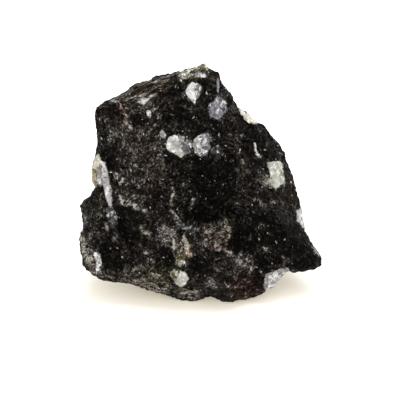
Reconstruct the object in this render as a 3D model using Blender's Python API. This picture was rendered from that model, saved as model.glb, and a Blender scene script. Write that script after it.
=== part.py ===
"""A hand-sized piece of dark rock with pale feldspar crystals, as one closed solid.

The tables below draw the stone in millimetres, for a stone 45 mm wide, as it is seen from the
front by an eye that looks down on it by EYE_TILT. A place has three numbers, counted from the
heart, a point inside the stone: right, up in the picture, and near, towards the eye.
Flat fracture faces make a blocky body, roughened by smaller breaks. The body is fitted to the
stone's outline, and folds and crystals are pushed in or out along the line of sight, which leaves
the outline as it is. Last, the stone is turned upright, so that +Z is up and it rests on a small
flat spot. Its origin is the middle of its footprint's box, on the surface that it stands on.
"""

import math

import bpy
import numpy as np

# Driving dimensions: the finished width in metres, and the rest in the tables' millimetres
WIDTH = 0.045
DRAWN_WIDTH = 45.0
FLOOR_DEPTH = 16.8
EYE_TILT = math.radians(30.0)
EYE_DISTANCE = 309.0

# How finely the surface is drawn
GRID_STEPS = 56
TRIANGLES = 9400
RIM_TURNS = 900
RIM_TILTS = 220

# How sharp things are
EDGE_SHARPNESS = 34.0
FOLD_POWER = 1.25
CRYSTAL_POWER = 2.6
RIM_DEPTH = 3.6

# The outline from the front, clockwise from the upper left corner
OUTLINE = (
    (-19.3, 15.0), (-17.4, 16.3), (-14.8, 17.5), (-12.7, 19.3), (-10.2, 19.9), (-9.1, 20.1),
    (-8.6, 20.8), (-5.6, 21.3), (-2.5, 22.2), (-0.6, 22.7), (0.5, 23.3), (2.2, 22.1),
    (3.7, 21.3), (4.1, 19.7), (5.7, 17.6), (7.1, 14.9), (8.7, 14.3), (10.0, 12.8),
    (11.9, 11.7), (13.6, 9.5), (15.5, 7.1), (16.5, 4.6), (17.4, 2.1), (18.1, -0.7),
    (18.9, -3.5), (19.2, -5.9), (19.6, -7.8), (20.7, -10.0), (22.0, -11.7), (22.6, -12.9),
    (22.5, -14.3), (21.3, -15.3), (17.0, -15.6), (16.4, -15.4), (14.8, -16.9), (13.5, -18.6),
    (12.4, -18.8), (12.0, -19.5), (10.0, -20.4), (7.8, -20.8), (5.6, -21.4), (4.6, -21.3),
    (2.8, -20.3), (1.1, -20.4), (0.0, -20.9), (-1.1, -21.2), (-3.3, -21.0), (-5.6, -20.3),
    (-8.0, -19.6), (-9.8, -18.7), (-13.4, -17.9), (-17.8, -17.2), (-20.0, -16.2), (-21.2, -15.3),
    (-21.8, -14.2), (-22.4, -11.6), (-22.5, -9.6), (-21.9, -7.0), (-22.1, -4.2), (-22.5, -3.3),
    (-21.6, -2.0), (-20.5, -1.6), (-20.0, -0.6), (-19.6, 0.3), (-20.1, 1.2), (-20.1, 4.0),
    (-19.7, 6.2), (-19.1, 8.4), (-19.5, 12.4), (-19.5, 13.8),
)

# Flat fracture faces on the side that is seen: which way each faces (right, up, near), and a point on it
SEEN_FACES = {
    "front": ((0.06, -0.02, 1.0), (0.0, 4.0, 9.8)),
    "front left": ((-0.55, 0.1, 0.83), (-13.6, 9.0, 8.5)),
    "front right": ((0.5, 0.12, 0.86), (10.5, 5.0, 8.6)),
    "right strip": ((0.86, 0.16, 0.5), (16.6, 0.0, 4.2)),
    "front low right": ((0.36, -0.3, 0.88), (11.0, -9.0, 8.6)),
    "front low": ((-0.05, -0.36, 0.93), (-1.0, -14.0, 9.6)),
    "front low left": ((-0.45, -0.22, 0.86), (-15.5, -6.0, 8.0)),
    "chin left": ((-0.2, -0.88, 0.42), (-11.0, -16.4, 7.3)),
    "chin right": ((0.24, -0.84, 0.48), (7.5, -19.0, 8.0)),
    "top": ((-0.36, 0.9, 0.24), (-9.0, 18.0, 4.6)),
    "summit": ((0.3, 0.78, 0.55), (2.5, 20.8, 5.2)),
    "right slope": ((0.76, 0.64, 0.12), (7.4, 15.9, 2.0)),
    "right": ((0.93, 0.34, 0.14), (16.5, 4.0, 2.0)),
    "left": ((-0.99, 0.06, -0.12), (-20.0, 4.0, 1.5)),
    "low left": ((-0.93, -0.34, -0.1), (-22.0, -9.0, 1.5)),
    "right tip": ((0.95, -0.28, -0.1), (22.3, -13.0, 1.0)),
}

# Faces behind and below: which way each faces (right, away, up from the floor), and a point on it
HIDDEN_FACES = {
    "back": ((0.08, 0.95, 0.3), (0.0, 13.5, 2.0)),
    "back top": ((0.15, 0.6, 0.78), (-1.0, 9.5, 14.0)),
    "back left": ((-0.72, 0.68, 0.14), (-14.0, 8.5, 0.0)),
    "back left top": ((-0.55, 0.5, 0.67), (-12.0, 7.0, 11.0)),
    "back right": ((0.74, 0.62, 0.26), (11.5, 8.5, 0.0)),
    "back heel": ((-0.1, 0.74, -0.66), (0.0, 10.8, -11.0)),
    "left heel": ((-0.68, 0.3, -0.67), (-14.6, 2.0, -11.5)),
    "right heel": ((0.68, 0.28, -0.68), (15.2, 2.0, -12.0)),
    "under left": ((-0.42, -0.05, -0.9), (-12.0, -11.2, -14.2)),
    "under right": ((0.5, -0.05, -0.86), (15.0, -10.4, -15.0)),
    "underside": ((0.0, 0.0, -1.0), (0.0, 0.0, -17.2)),
}

# Folds of the front: its points, how wide it is left and right of the way they go, and its height.
# A height below zero makes a valley.
FRONT_FOLDS = {
    "under the twins": (((-4.8, -4.0), (-2.6, -6.4), (0.9, -7.5), (3.6, -6.9), (5.6, -5.2)), (9.0, 5.2), -2.3),
    "right hollow": (((6.9, -13.2), (7.2, -10.2), (6.2, -7.2)), (1.2, 4.2), -1.5),
    "left brow": (((-16.6, -1.9), (-13.0, -3.6), (-9.3, -6.9), (-8.8, -10.0)), (3.2, 2.1), 0.9),
    "left hollow": (((-15.6, -6.0), (-12.6, -8.8), (-12.4, -12.6)), (3.0, 2.6), -1.4),
    "vein valley": (((-17.9, 6.0), (-17.1, 1.2), (-16.3, -3.2), (-16.4, -7.6)), (1.9, 1.9), -1.0),
    "left lump": (((-19.6, -2.8), (-19.4, -10.0)), (2.8, 2.8), 0.8),
    "right fold": (((7.0, 15.2), (8.5, 7.4), (11.6, 4.2)), (2.4, 1.8), -1.1),
    "right block": (((13.2, 10.8), (12.6, 5.8)), (2.2, 2.2), 1.0),
    "arm": (((12.6, -9.2), (21.0, -13.2)), (3.4, 2.6), 1.0),
    "low ridge": (((0.6, -9.4), (2.6, -14.0), (6.2, -19.0)), (3.4, 2.0), 0.9),
    "left corner": (((-11.6, 5.6), (-13.5, 10.6), (-14.9, 15.8)), (3.2, 3.0), 0.8),
    "top edge": (((-19.2, 14.9), (-15.2, 16.0), (-10.6, 16.9), (-5.6, 19.4), (0.0, 21.7)), (1.3, 2.8), 0.6),
    "upper dent": (((-3.0, 12.6), (4.4, 11.0)), (2.6, 3.4), -0.7),
    "left dent": (((-11.4, 3.6), (-6.4, 0.6)), (3.0, 2.4), -0.7),
    "low dent": (((9.4, -16.4), (12.4, -12.8)), (2.4, 2.2), -0.8),
}

# The same for the back, still in the picture's right and up, as if seen through the stone
BACK_FOLDS = {
    "long ledge": (((-13.0, 4.5), (-4.0, 7.5), (6.0, 4.0)), (1.3, 5.5), 1.6),
    "lower step": (((-6.0, -6.0), (3.0, -3.5), (11.0, -7.5)), (5.0, 1.4), -1.7),
    "side groove": (((-15.0, -1.0), (-12.0, -9.0)), (2.0, 3.2), -1.2),
    "high dent": (((2.0, 14.0), (6.0, 9.0)), (2.8, 2.2), -1.1),
}

# Crystals that stand a little proud: centre, half width and height, turn in degrees, and how proud
CRYSTALS = {
    "upper white": ((-1.1, 17.8), (1.5, 1.7), 20.0, 0.3),
    "upper grey": ((3.2, 15.4), (1.4, 3.0), -8.0, 0.3),
    "twin left": ((-4.1, 8.0), (2.4, 1.8), 12.0, 0.4),
    "twin right": ((0.5, 8.0), (1.8, 2.1), -10.0, 0.4),
    "right": ((14.2, 2.6), (1.5, 2.4), 8.0, 0.5),
    "left edge": ((-18.6, 3.2), (1.6, 3.2), 6.0, 0.9),
    "low": ((-3.6, -16.7), (1.7, 1.7), 0.0, 0.5),
    "low right": ((14.0, -17.0), (2.6, 2.0), 30.0, 0.8),
    "shoulder": ((9.4, 13.2), (2.0, 1.3), -40.0, 0.7),
    "low streak": ((-2.9, -10.6), (0.9, 3.2), 0.0, 0.35),
}


def cell_number(cell, seed):
    """A fixed number between -1 and 1 for each lattice cell, mixed from its whole-number place."""
    x, y, z = cell.T
    mixed = (x * 73856093) ^ (y * 19349663) ^ (z * 83492791) ^ (seed * 2654435761)
    for _ in range(2):
        mixed = ((mixed ^ (mixed >> 15)) * 2246822519) & 0xFFFFFFFF
    mixed ^= mixed >> 13
    return (mixed & 0xFFFF) / 32767.5 - 1


def lattice_noise(points, size, seed):
    """Smooth noise between about -1 and 1, with swells about `size` across: random slopes on a lattice."""
    places = points / size + seed * 17.13
    cell = np.floor(places).astype(np.int64)
    inside = places - cell
    fade = inside**3 * (inside * (inside * 6 - 15) + 10)
    total = np.zeros(len(places))
    for corner in np.ndindex(2, 2, 2):
        home = cell + corner
        lean = sum(cell_number(home, seed * 3 + i) * (inside[:, i] - corner[i]) for i in range(3))
        share = np.prod([fade[:, i] if c else 1 - fade[:, i] for i, c in enumerate(corner)], axis=0)
        total += lean * share
    return total * 1.6


def fracture(points, size, lean, seed):
    """Small broken faces: shallow tilted bowls about `size` across, which meet in sharp ridges."""
    places = points / size
    cell = np.floor(places).astype(np.int64)
    lowest = np.full(len(places), np.inf)
    for neighbour in np.ndindex(3, 3, 3):
        home = cell + neighbour - 1
        jitter = np.stack([cell_number(home, seed + i) for i in range(3)], axis=1)
        tilt = np.stack([cell_number(home, seed + 3 + i) for i in range(3)], axis=1)
        apart = places - home - 0.5 - 0.4 * jitter
        bowl = (apart**2).sum(axis=1) + lean * (apart * tilt).sum(axis=1)
        lowest = np.minimum(lowest, bowl)
    return lowest - 0.3


def cube_sphere(steps):
    """Points over a unit sphere, as the six grids of a cube blown round, and their four-sided faces."""
    line = np.tan(np.linspace(-math.pi / 4, math.pi / 4, steps + 1))
    across, along = np.meshgrid(line, line, indexing="ij")
    flat = np.stack([across.ravel(), along.ravel(), np.ones(across.size)], axis=1)
    row = np.arange(steps)[:, None] * (steps + 1) + np.arange(steps)[None, :]
    quad = np.stack([row, row + steps + 1, row + steps + 2, row + 1], axis=-1).reshape(-1, 4)
    points, quads = [], []
    for order in ((0, 1, 2), (1, 2, 0), (2, 0, 1)):
        for sign in (1, -1):
            quads.append((quad if sign > 0 else quad[:, ::-1]) + len(points) * len(flat))
            points.append((flat * (1, 1, sign))[:, order])
    points = np.concatenate(points)
    return points / np.linalg.norm(points, axis=1, keepdims=True), np.concatenate(quads)


def in_picture(place):
    """Turns right, away and up from the floor into the picture's right, up and near."""
    right, away, height = place
    up = away * math.sin(EYE_TILT) + height * math.cos(EYE_TILT)
    near = height * math.sin(EYE_TILT) - away * math.cos(EYE_TILT)
    return np.array((right, up, near))


def upright(points):
    """Turns the picture's right, up and near into the stone's own +X right, +Y away and +Z up."""
    right, up, near = points.T
    away = up * math.sin(EYE_TILT) - near * math.cos(EYE_TILT)
    height = up * math.cos(EYE_TILT) + near * math.sin(EYE_TILT)
    return np.stack([right, away, height], axis=1)


def facet_reach(directions):
    """How far the fracture faces let each direction reach from the heart, with slightly worn edges."""
    faces = [(np.array(facing), np.array(point)) for facing, point in SEEN_FACES.values()]
    faces += [(in_picture(facing), in_picture(point)) for facing, point in HIDDEN_FACES.values()]
    blocked = np.zeros(len(directions))
    for facing, point in faces:
        closeness = directions @ facing / (facing @ point)
        blocked += np.maximum(closeness, 0) ** EDGE_SHARPNESS
    return blocked ** (-1 / EDGE_SHARPNESS)


def reach(directions):
    """The rough body's reach from the heart along each direction, before it is fitted to the outline."""
    bend = np.stack([lattice_noise(directions, 0.62, seed) for seed in (1, 2, 3)], axis=1)
    bent = directions + 0.07 * bend
    bent /= np.linalg.norm(bent, axis=1, keepdims=True)
    distance = facet_reach(bent)
    body = directions * distance[:, None]
    behind = np.clip(0.5 - 2 * directions[:, 2], 0, 1)
    swells = (0.5 + 0.7 * behind) * lattice_noise(body, 9.0, 4)
    broad = (0.3 + 1.6 * behind) * fracture(body, 13.0, 0.8, 10)
    breaks = 1.1 * fracture(body, 6.0, 0.8, 20) + 0.75 * fracture(body, 2.7, 0.8, 30)
    return distance + swells + broad + breaks


def outline_reach(turns):
    """The outline's reach in the picture at each angle: where a ray from the heart meets its edge."""
    first = np.array(OUTLINE)[None]
    edge = np.roll(first, -1, axis=1) - first
    ray = np.stack([np.cos(turns), np.sin(turns)], axis=1)[:, None, :]
    cross = ray[..., 0] * edge[..., 1] - ray[..., 1] * edge[..., 0]
    along_ray = (first[..., 0] * edge[..., 1] - first[..., 1] * edge[..., 0]) / cross
    along_edge = (first[..., 0] * ray[..., 1] - first[..., 1] * ray[..., 0]) / cross
    hit = (along_ray > 0) & (along_edge >= -1e-9) & (along_edge <= 1 + 1e-9)
    return np.where(hit, along_ray, np.inf).min(axis=1)


def rim_table():
    """Angles round the picture, and there the body's widest reach and how near the eye that lies."""
    turns = np.linspace(-math.pi, math.pi, RIM_TURNS + 1)
    widest = np.zeros(len(turns))
    rim_near = np.zeros(len(turns))
    for tilt in np.linspace(0.15, math.pi - 0.15, RIM_TILTS):
        aside = np.stack([np.cos(turns), np.sin(turns)], axis=1) * math.sin(tilt)
        distance = reach(np.column_stack([aside, np.full(len(turns), math.cos(tilt))]))
        wider = distance * math.sin(tilt) > widest
        widest = np.where(wider, distance * math.sin(tilt), widest)
        rim_near = np.where(wider, distance * math.cos(tilt), rim_near)
    return turns, widest, rim_near


def evened(ring, degrees):
    """A ring of numbers evened out over some degrees each way."""
    half = round(RIM_TURNS * degrees / 360)
    window = np.hanning(2 * half + 3)[1:-1]
    around = np.concatenate([ring[-half - 1 : -1], ring, ring[1 : half + 1]])
    return np.convolve(around, window / window.sum(), mode="valid")


def fit_to_outline(body):
    """Stretches the body sideways and upwards until its widest rim is the outline.

    A gentle stretch goes all over. The outline's own bumps are added at the rim alone, fading out
    nearer and farther, and what would still stand outside the outline is cut back to it.
    """
    turns, widest, rim_near = rim_table()
    exact = outline_reach(turns) / widest
    gentle = evened(exact, 30) - 0.02
    turn = np.arctan2(body[:, 1], body[:, 0])
    share = np.hypot(body[:, 0], body[:, 1]) / np.interp(turn, turns, widest)
    apart = (body[:, 2] - np.interp(turn, turns, evened(rim_near, 8))) / RIM_DEPTH
    at_rim = np.clip((share - 0.6) / 0.38, 0, 1) ** 2 * np.exp(-(apart**2))
    exact, gentle = np.interp(turn, turns, exact), np.interp(turn, turns, gentle)
    stretch = np.minimum(gentle + (exact - gentle) * at_rim, exact / np.maximum(share, 1e-9))
    return body * np.stack([stretch, stretch, np.ones(len(body))], axis=1)


def fold(right, up, points, widths):
    """1 along a bent line, falling to 0 at its own width on either side, steepest at the line."""
    nearest = np.full(len(right), np.inf)
    side = np.zeros(len(right))
    for (x0, y0), (x1, y1) in zip(points[:-1], points[1:]):
        along_x, along_y = x1 - x0, y1 - y0
        step = ((right - x0) * along_x + (up - y0) * along_y) / (along_x**2 + along_y**2)
        step = np.clip(step, 0, 1)
        apart_x, apart_y = right - x0 - step * along_x, up - y0 - step * along_y
        apart = np.hypot(apart_x, apart_y)
        leftness = (along_x * apart_y - along_y * apart_x) / math.hypot(along_x, along_y)
        closer = apart < nearest
        side = np.where(closer, leftness / np.maximum(apart, 1e-9), side)
        nearest = np.where(closer, apart, nearest)
    width = widths[1] + (widths[0] - widths[1]) * (0.5 + 0.5 * side)
    return np.clip(1 - nearest / width, 0, 1) ** FOLD_POWER


def crystal(right, up, centre, half, turn):
    """How much of a crystal's height each place takes: a flat top with sloping sides."""
    cosine, sine = math.cos(math.radians(turn)), math.sin(math.radians(turn))
    x, y = right - centre[0], up - centre[1]
    across, along = np.abs(x * cosine + y * sine) / half[0], np.abs(y * cosine - x * sine) / half[1]
    blockiness = (across**CRYSTAL_POWER + along**CRYSTAL_POWER) ** (1 / CRYSTAL_POWER)
    return np.clip((1.25 - blockiness) / 0.5, 0, 1)


def relief(right, up, folds, crystals):
    """How far each place of a side is pushed out, with the lines of the folds bent by noise."""
    place = np.stack([right, up, np.zeros(len(right))], axis=1)
    bend_right, bend_up = lattice_noise(place, 4.0, 51), lattice_noise(place, 4.0, 52)
    pushed = np.zeros(len(right))
    for points, widths, height in folds.values():
        pushed += height * fold(right + 0.7 * bend_right, up + 0.7 * bend_up, points, widths)
    for centre, half, turn, height in crystals.values():
        pushed += height * crystal(right + 0.3 * bend_right, up + 0.3 * bend_up, centre, half, turn)
    return pushed


def stone_points(directions):
    """The stone's surface in its own upright frame, in the tables' millimetres from the heart."""
    points = fit_to_outline(directions * reach(directions)[:, None])
    right, up, near = points.T
    facing_eye = np.clip(directions[:, 2] * 5, 0, 1)
    facing_away = np.clip(-directions[:, 2] * 5, 0, 1)
    near = near + facing_eye * relief(right, up, FRONT_FOLDS, CRYSTALS)
    near = near - facing_away * relief(right, up, BACK_FOLDS, {})
    opening = 1 - near / EYE_DISTANCE
    points = upright(np.stack([right * opening, up * opening, near], axis=1))
    return points * (FLOOR_DEPTH / np.maximum(-points[:, 2:], FLOOR_DEPTH))


def stone_material():
    """Dark rough rock."""
    material = bpy.data.materials.new("dark rock")
    material.use_nodes = True
    surface = material.node_tree.nodes["Principled BSDF"]
    surface.inputs["Base Color"].default_value = (0.028, 0.024, 0.021, 1)
    surface.inputs["Roughness"].default_value = 0.75
    surface.inputs["Metallic"].default_value = 0.0
    return material


def make_stone():
    """The stone as one closed mesh, thinned so that small triangles stay where the shape turns."""
    directions, quads = cube_sphere(GRID_STEPS)
    mesh = bpy.data.meshes.new("fine stone")
    mesh.from_pydata((stone_points(directions) * WIDTH / DRAWN_WIDTH).tolist(), [], quads.tolist())
    mesh.materials.append(stone_material())
    stone = bpy.data.objects.new("stone", mesh)
    bpy.context.scene.collection.objects.link(stone)
    weld = stone.modifiers.new("close the grid's seams", "WELD")
    weld.merge_threshold = 0.00001
    thin = stone.modifiers.new("thin the triangles", "DECIMATE")
    thin.ratio = TRIANGLES / (2 * len(quads))
    thinned = bpy.data.meshes.new_from_object(stone.evaluated_get(bpy.context.evaluated_depsgraph_get()))
    stone.modifiers.clear()
    stone.data = thinned
    bpy.data.meshes.remove(mesh)
    stand_on_floor(thinned)


def stand_on_floor(mesh):
    """Sets the flat spot on z = 0, exactly flat, with the middle of the stone's box above the origin."""
    places = np.empty(len(mesh.vertices) * 3)
    mesh.vertices.foreach_get("co", places)
    places = places.reshape(-1, 3)
    places[:, 2] = np.maximum(places[:, 2] + FLOOR_DEPTH * WIDTH / DRAWN_WIDTH, 0)
    places[:, :2] -= (places.min(axis=0) + places.max(axis=0))[:2] / 2
    mesh.vertices.foreach_set("co", places.ravel())
    mesh.update()


for old in list(bpy.data.objects):
    bpy.data.objects.remove(old)
make_stone()
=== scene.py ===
# A piece of dark igneous rock with white feldspar crystals, standing free on a pale floor.
# Shapes are worked out in millimetres from the heart, a point inside the stone, in the picture's
# own directions: right, up, and near, towards the eye. At the end they are turned upright.

import math

import bpy
import numpy as np
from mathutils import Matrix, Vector


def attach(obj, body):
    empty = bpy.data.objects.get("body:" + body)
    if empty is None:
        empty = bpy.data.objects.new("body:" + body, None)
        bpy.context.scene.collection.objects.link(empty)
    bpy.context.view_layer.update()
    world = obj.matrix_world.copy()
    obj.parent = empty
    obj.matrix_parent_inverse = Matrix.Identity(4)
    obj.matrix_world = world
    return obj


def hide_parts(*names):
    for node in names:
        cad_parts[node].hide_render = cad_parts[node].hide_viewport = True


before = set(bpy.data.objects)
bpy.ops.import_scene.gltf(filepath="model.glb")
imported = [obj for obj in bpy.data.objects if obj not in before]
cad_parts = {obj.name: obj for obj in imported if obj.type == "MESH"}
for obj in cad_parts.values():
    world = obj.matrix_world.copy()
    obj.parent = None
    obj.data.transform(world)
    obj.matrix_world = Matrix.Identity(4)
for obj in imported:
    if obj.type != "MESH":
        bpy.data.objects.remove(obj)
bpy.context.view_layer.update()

millimetre = 0.001

eye = {
    "tilt": math.radians(30.0),  # how steeply it looks down
    "distance": 309.0,
    "lens": 150.0,
    "sensor": 36.0,
    "aimBelowHeart": 2.2,
}

shape = {
    "gridSteps": 128,  # along each edge of the six grids
    "floorDepth": 16.8,  # from the heart down to the surface the stone rests on
    "edgeSharpness": 34.0,  # how crisp the edges between two faces are
    "foldPower": 1.25,  # 1 for a fold with straight sides, more for hollow ones
    "crystalPower": 2.6,  # 2 for an oval crystal, more for a squarer one
}

# how the flat faces bend and break: size, height, and how much higher behind
breakage = {
    "bend": (0.62, 0.07),  # size and strength, of the directions themselves
    "swells": (9.0, 0.5, 0.7),
    "broad breaks": (13.0, 0.3, 1.6),
    "breaks": (6.0, 1.1, 0.0),
    "small breaks": (2.7, 0.75, 0.0),
    "lean": 0.8,  # how much single breaks tilt
}

# how the body is fitted to the outline
rim = {
    "turns": 900,  # steps round the picture, and from front to back
    "tilts": 220,
    "poleGap": 0.15,
    "exact": (0.6, 0.98),  # shares of the way out between which the fit becomes exact
    "depth": 3.6,  # how far in front of the rim and behind it the exact fit holds
    "gentleOver": 30,  # degrees each way that the stretch is averaged over elsewhere
    "nearOver": 8,  # the same for how near the rim lies
    "inset": 0.02,
}

# the outline from the front, clockwise from the upper left corner
outline = (
    (-19.3, 15.0), (-17.4, 16.3), (-14.8, 17.5), (-12.7, 19.3), (-10.2, 19.9), (-9.1, 20.1),
    (-8.6, 20.8), (-5.6, 21.3), (-2.5, 22.2), (-0.6, 22.7), (0.5, 23.3), (2.2, 22.1),
    (3.7, 21.3), (4.1, 19.7), (5.7, 17.6), (7.1, 14.9), (8.7, 14.3), (10.0, 12.8),
    (11.9, 11.7), (13.6, 9.5), (15.5, 7.1), (16.5, 4.6), (17.4, 2.1), (18.1, -0.7),
    (18.9, -3.5), (19.2, -5.9), (19.6, -7.8), (20.7, -10.0), (22.0, -11.7), (22.6, -12.9),
    (22.5, -14.3), (21.3, -15.3), (17.0, -15.6), (16.4, -15.4), (14.8, -16.9), (13.5, -18.6),
    (12.4, -18.8), (12.0, -19.5), (10.0, -20.4), (7.8, -20.8), (5.6, -21.4), (4.6, -21.3),
    (2.8, -20.3), (1.1, -20.4), (0.0, -20.9), (-1.1, -21.2), (-3.3, -21.0), (-5.6, -20.3),
    (-8.0, -19.6), (-9.8, -18.7), (-13.4, -17.9), (-17.8, -17.2), (-20.0, -16.2), (-21.2, -15.3),
    (-21.8, -14.2), (-22.4, -11.6), (-22.5, -9.6), (-21.9, -7.0), (-22.1, -4.2), (-22.5, -3.3),
    (-21.6, -2.0), (-20.5, -1.6), (-20.0, -0.6), (-19.6, 0.3), (-20.1, 1.2), (-20.1, 4.0),
    (-19.7, 6.2), (-19.1, 8.4), (-19.5, 12.4), (-19.5, 13.8),
)

# flat fracture faces that are seen: which way each faces (right, up, near), and a point on it
seenFaces = {
    "front": ((0.06, -0.02, 1.0), (0.0, 4.0, 9.8)),
    "front left": ((-0.55, 0.1, 0.83), (-13.6, 9.0, 8.5)),
    "front right": ((0.5, 0.12, 0.86), (10.5, 5.0, 8.6)),
    "right strip": ((0.86, 0.16, 0.5), (16.6, 0.0, 4.2)),
    "front low right": ((0.36, -0.3, 0.88), (11.0, -9.0, 8.6)),
    "front low": ((-0.05, -0.36, 0.93), (-1.0, -14.0, 9.6)),
    "front low left": ((-0.45, -0.22, 0.86), (-15.5, -6.0, 8.0)),
    "chin left": ((-0.2, -0.88, 0.42), (-11.0, -16.4, 7.3)),
    "chin right": ((0.24, -0.84, 0.48), (7.5, -19.0, 8.0)),
    "top": ((-0.36, 0.9, 0.24), (-9.0, 18.0, 4.6)),
    "summit": ((0.3, 0.78, 0.55), (2.5, 20.8, 5.2)),
    "right slope": ((0.76, 0.64, 0.12), (7.4, 15.9, 2.0)),
    "right": ((0.93, 0.34, 0.14), (16.5, 4.0, 2.0)),
    "left": ((-0.99, 0.06, -0.12), (-20.0, 4.0, 1.5)),
    "low left": ((-0.93, -0.34, -0.1), (-22.0, -9.0, 1.5)),
    "right tip": ((0.95, -0.28, -0.1), (22.3, -13.0, 1.0)),
}

# faces behind and below: which way each faces (right, away, up from the floor), and a point on it
hiddenFaces = {
    "back": ((0.08, 0.95, 0.3), (0.0, 13.5, 2.0)),
    "back top": ((0.15, 0.6, 0.78), (-1.0, 9.5, 14.0)),
    "back left": ((-0.72, 0.68, 0.14), (-14.0, 8.5, 0.0)),
    "back left top": ((-0.55, 0.5, 0.67), (-12.0, 7.0, 11.0)),
    "back right": ((0.74, 0.62, 0.26), (11.5, 8.5, 0.0)),
    "back heel": ((-0.1, 0.74, -0.66), (0.0, 10.8, -11.0)),
    "left heel": ((-0.68, 0.3, -0.67), (-14.6, 2.0, -11.5)),
    "right heel": ((0.68, 0.28, -0.68), (15.2, 2.0, -12.0)),
    "under left": ((-0.42, -0.05, -0.9), (-12.0, -11.2, -14.2)),
    "under right": ((0.5, -0.05, -0.86), (15.0, -10.4, -15.0)),
    "underside": ((0.0, 0.0, -1.0), (0.0, 0.0, -17.2)),
}

# folds of the front: points along each, its widths left and right of the way they go, and its height
frontFolds = {
    "under the twins": (((-4.8, -4.0), (-2.6, -6.4), (0.9, -7.5), (3.6, -6.9), (5.6, -5.2)),
        (9.0, 5.2), -2.3),
    "right hollow": (((6.9, -13.2), (7.2, -10.2), (6.2, -7.2)), (1.2, 4.2), -1.5),
    "left brow": (((-16.6, -1.9), (-13.0, -3.6), (-9.3, -6.9), (-8.8, -10.0)), (3.2, 2.1), 0.9),
    "left hollow": (((-15.6, -6.0), (-12.6, -8.8), (-12.4, -12.6)), (3.0, 2.6), -1.4),
    "vein valley": (((-17.9, 6.0), (-17.1, 1.2), (-16.3, -3.2), (-16.4, -7.6)), (1.9, 1.9), -1.0),
    "left lump": (((-19.6, -2.8), (-19.4, -10.0)), (2.8, 2.8), 0.8),
    "right fold": (((7.0, 15.2), (8.5, 7.4), (11.6, 4.2)), (2.4, 1.8), -1.1),
    "right block": (((13.2, 10.8), (12.6, 5.8)), (2.2, 2.2), 1.0),
    "arm": (((12.6, -9.2), (21.0, -13.2)), (3.4, 2.6), 1.0),
    "low ridge": (((0.6, -9.4), (2.6, -14.0), (6.2, -19.0)), (3.4, 2.0), 0.9),
    "left corner": (((-11.6, 5.6), (-13.5, 10.6), (-14.9, 15.8)), (3.2, 3.0), 0.8),
    "top edge": (((-19.2, 14.9), (-15.2, 16.0), (-10.6, 16.9), (-5.6, 19.4), (0.0, 21.7)), (1.3, 2.8), 0.6),
    "upper dent": (((-3.0, 12.6), (4.4, 11.0)), (2.6, 3.4), -0.7),
    "left dent": (((-11.4, 3.6), (-6.4, 0.6)), (3.0, 2.4), -0.7),
    "low dent": (((9.4, -16.4), (12.4, -12.8)), (2.4, 2.2), -0.8),
}

# the same for the back, as if seen through the stone
backFolds = {
    "long ledge": (((-13.0, 4.5), (-4.0, 7.5), (6.0, 4.0)), (1.3, 5.5), 1.6),
    "lower step": (((-6.0, -6.0), (3.0, -3.5), (11.0, -7.5)), (5.0, 1.4), -1.7),
    "side groove": (((-15.0, -1.0), (-12.0, -9.0)), (2.0, 3.2), -1.2),
    "high dent": (((2.0, 14.0), (6.0, 9.0)), (2.8, 2.2), -1.1),
}

# crystals that stand a little proud: centre, half width and height, turn in degrees, and how proud
proudCrystals = {
    "upper white": ((-1.1, 17.8), (1.5, 1.7), 20.0, 0.3),
    "upper grey": ((3.2, 15.4), (1.4, 3.0), -8.0, 0.3),
    "twin left": ((-4.1, 8.0), (2.4, 1.8), 12.0, 0.4),
    "twin right": ((0.5, 8.0), (1.8, 2.1), -10.0, 0.4),
    "right": ((14.2, 2.6), (1.5, 2.4), 8.0, 0.5),
    "left edge": ((-18.6, 3.2), (1.6, 3.2), 6.0, 0.9),
    "low": ((-3.6, -16.7), (1.7, 1.7), 0.0, 0.5),
    "low right": ((14.0, -17.0), (2.6, 2.0), 30.0, 0.8),
    "shoulder": ((9.4, 13.2), (2.0, 1.3), -40.0, 0.7),
    "low streak": ((-2.9, -10.6), (0.9, 3.2), 0.0, 0.35),
}

# a fixed number from -1 to 1 for each lattice cell, mixed from its whole-number place
def cellNumber(cell, seed):
    x, y, z = cell.T
    mixed = (x * 73856093) ^ (y * 19349663) ^ (z * 83492791) ^ (seed * 2654435761)
    for _ in range(2):
        mixed = ((mixed ^ (mixed >> 15)) * 2246822519) & 0xFFFFFFFF
    mixed ^= mixed >> 13
    return (mixed & 0xFFFF) / 32767.5 - 1


# smooth noise: on each lattice corner a random slope, blended by the fifth-degree fade curve,
# and times 1.6, which brings it to about -1 to 1
def latticeNoise(points, size, seed):
    places = points / size + seed * 17.13
    cell = np.floor(places).astype(np.int64)
    inside = places - cell
    fade = inside**3 * (inside * (inside * 6 - 15) + 10)
    total = np.zeros(len(places))
    for corner in np.ndindex(2, 2, 2):
        home = cell + corner
        lean = sum(cellNumber(home, seed * 3 + i) * (inside[:, i] - corner[i]) for i in range(3))
        share = np.prod([fade[:, i] if c else 1 - fade[:, i] for i, c in enumerate(corner)], axis=0)
        total += lean * share
    return total * 1.6


# broken faces: the lowest of the neighbouring bowls, distance squared plus a random tilt,
# less 0.3, which is about their mean
def fracture(points, size, lean, seed):
    places = points / size
    cell = np.floor(places).astype(np.int64)
    lowest = np.full(len(places), np.inf)
    for neighbour in np.ndindex(3, 3, 3):
        home = cell + neighbour - 1
        jitter = np.stack([cellNumber(home, seed + i) for i in range(3)], axis=1)
        tilt = np.stack([cellNumber(home, seed + 3 + i) for i in range(3)], axis=1)
        apart = places - home - 0.5 - 0.4 * jitter
        bowl = (apart**2).sum(axis=1) + lean * (apart * tilt).sum(axis=1)
        lowest = np.minimum(lowest, bowl)
    return lowest - 0.3


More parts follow.
